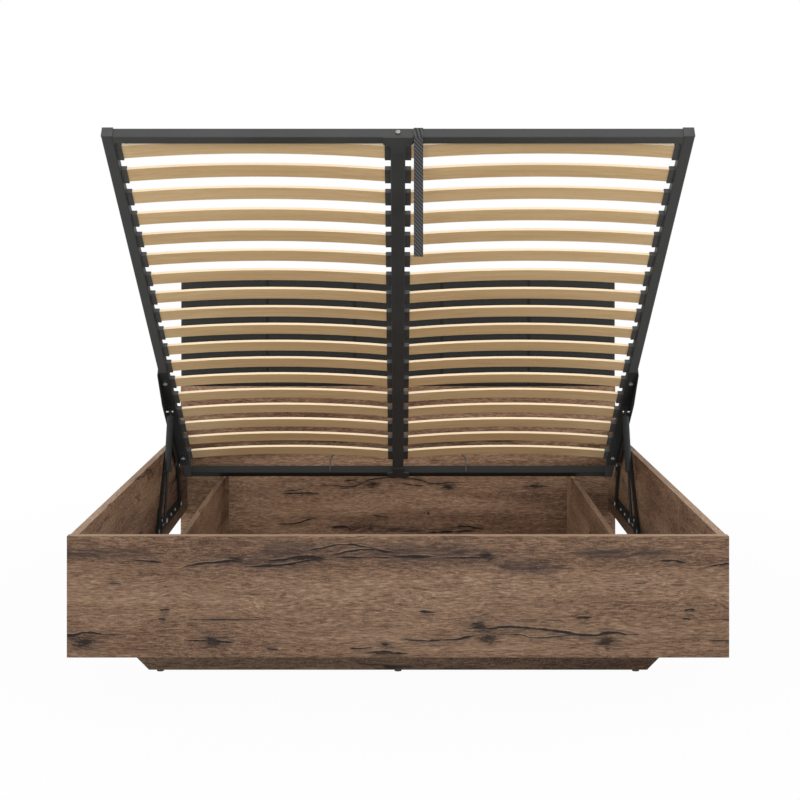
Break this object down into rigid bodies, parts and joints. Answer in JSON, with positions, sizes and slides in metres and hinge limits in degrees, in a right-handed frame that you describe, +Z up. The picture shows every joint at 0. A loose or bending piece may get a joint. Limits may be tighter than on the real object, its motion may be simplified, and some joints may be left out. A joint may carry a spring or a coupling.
{
  "type": "ottoman bed",
  "caption": "Double ottoman bed with wood-grain box, upholstered headboard, and a sprung-slat lid that lifts on gas springs over a storage box.",
  "frame": {"origin": "on the floor, under the middle of the bed's length and width", "axes": "+Z up, +Y towards the headboard, +X to the right when seen from the foot end"},
  "size_m": [1.66, 2.063, 1.4512],
  "materials": {
    "oak_board": "matt wood-grain board",
    "floor_board": "matt thin board",
    "backing_board": "matt raw board",
    "upholstery": "smooth dark upholstery",
    "zinc_steel": "zinc plated",
    "bright_steel": "bright",
    "dark_steel": "satin powder coat",
    "black_barrel": "satin black",
    "spring_wood": "sanded plywood",
    "black_plastic": "matt",
    "soft_rubber": "matt",
    "webbing": "woven"
  },
  "bodies": {
    "bed_box": {"footboard": "oak_board", "left_side_rail": "oak_board", "right_side_rail": "oak_board", "headboard_panel": "oak_board", "left_divider": "oak_board", "right_divider": "oak_board", "plinth_front_board": "oak_board", "toe_shelf": "oak_board", "footboard_batten": "oak_board", "front_storage_floor": "floor_board", "rear_storage_floor": "floor_board", "headboard_pad_board": "backing_board", "headboard_pad": "upholstery", "headboard_joiners": "zinc_steel", "headboard_bolts": "zinc_steel", "corner_brackets": "zinc_steel", "corner_bracket_screws": "zinc_steel", "base_plate_bolts": "bright_steel", "base_pivot_pins": "bright_steel", "gas_base_pins": "bright_steel", "left_base_plate": "dark_steel", "right_base_plate": "dark_steel", "glide_feet": "black_plastic", "batten_bumpers": "soft_rubber"},
    "lid": {"left_side_tube": "dark_steel", "right_side_tube": "dark_steel", "foot_crossbar": "dark_steel", "head_crossbar": "dark_steel", "centre_beam": "dark_steel", "foot_beam_bracket": "dark_steel", "head_beam_bracket": "dark_steel", "corner_caps": "black_plastic", "left_slats": "spring_wood", "right_slats": "spring_wood", "left_slat_holders": "black_plastic", "right_slat_holders": "black_plastic", "centre_slat_holders": "black_plastic", "left_lift_arm": "dark_steel", "right_lift_arm": "dark_steel", "lift_arm_bolts": "bright_steel", "lid_pivot_pins": "bright_steel", "mattress_stop": "dark_steel", "crossbar_bolt": "bright_steel", "strap_wrap": "webbing"},
    "front_links": {"left_front_link": "dark_steel", "right_front_link": "dark_steel"},
    "rear_links": {"left_rear_link": "dark_steel", "right_rear_link": "dark_steel", "rear_link_rivets": "bright_steel"},
    "gas_rods": {"left_gas_rod": "black_barrel", "right_gas_rod": "black_barrel"},
    "gas_cylinders": {"left_gas_cylinder": "black_barrel", "right_gas_cylinder": "black_barrel", "gas_cylinder_pins": "bright_steel"},
    "strap_end": {"strap_tail": "webbing"}
  },
  "joints": [
    {"name": "lid_lift", "type": "hinge", "parent": "bed_box", "child": "front_links", "pos_m": [0, 0.2427, 0.17], "axis": [-1, 0, 0], "range_deg": [0, 27.33]},
    {"name": "lid_tilt", "type": "hinge", "parent": "front_links", "child": "lid", "pos_m": [0, 0.48946, 0.4697], "axis": [1, 0, 0], "range_deg": [0, 63.32], "stiffness_Nm_per_rad": 121, "springref_deg": -132.79},
    {"name": "rear_link_turn", "type": "hinge", "parent": "bed_box", "child": "rear_links", "pos_m": [0, 0.76937, 0.17], "axis": [-1, 0, 0], "range_deg": [0, 54.45]},
    {"name": "gas_spring_turn", "type": "hinge", "parent": "bed_box", "child": "gas_rods", "pos_m": [0, 0.2427, 0.207], "axis": [-1, 0, 0], "range_deg": [0, 40.78]},
    {"name": "gas_spring_stroke", "type": "slide", "parent": "gas_rods", "child": "gas_cylinders", "axis": [0, -0.356, -0.9345], "range_m": [0, 0.12633]},
    {"name": "strap_swing", "type": "hinge", "parent": "lid", "child": "strap_end", "pos_m": [0.0545, -0.7932, 1.42312], "axis": [1, 0, 0], "range_deg": [0, 54.01]}
  ],
  "couplings": [
    {"joint": "lid_lift", "follows": "lid_tilt", "ratio": 0.43149},
    {"joint": "rear_link_turn", "follows": "lid_tilt", "ratio": 0.85979},
    {"joint": "gas_spring_turn", "follows": "lid_tilt", "ratio": 0.64389},
    {"joint": "gas_spring_stroke", "follows": "lid_tilt", "m_per_rad": 0.1143},
    {"joint": "strap_swing", "follows": "lid_tilt", "ratio": 0.85277}
  ]
}
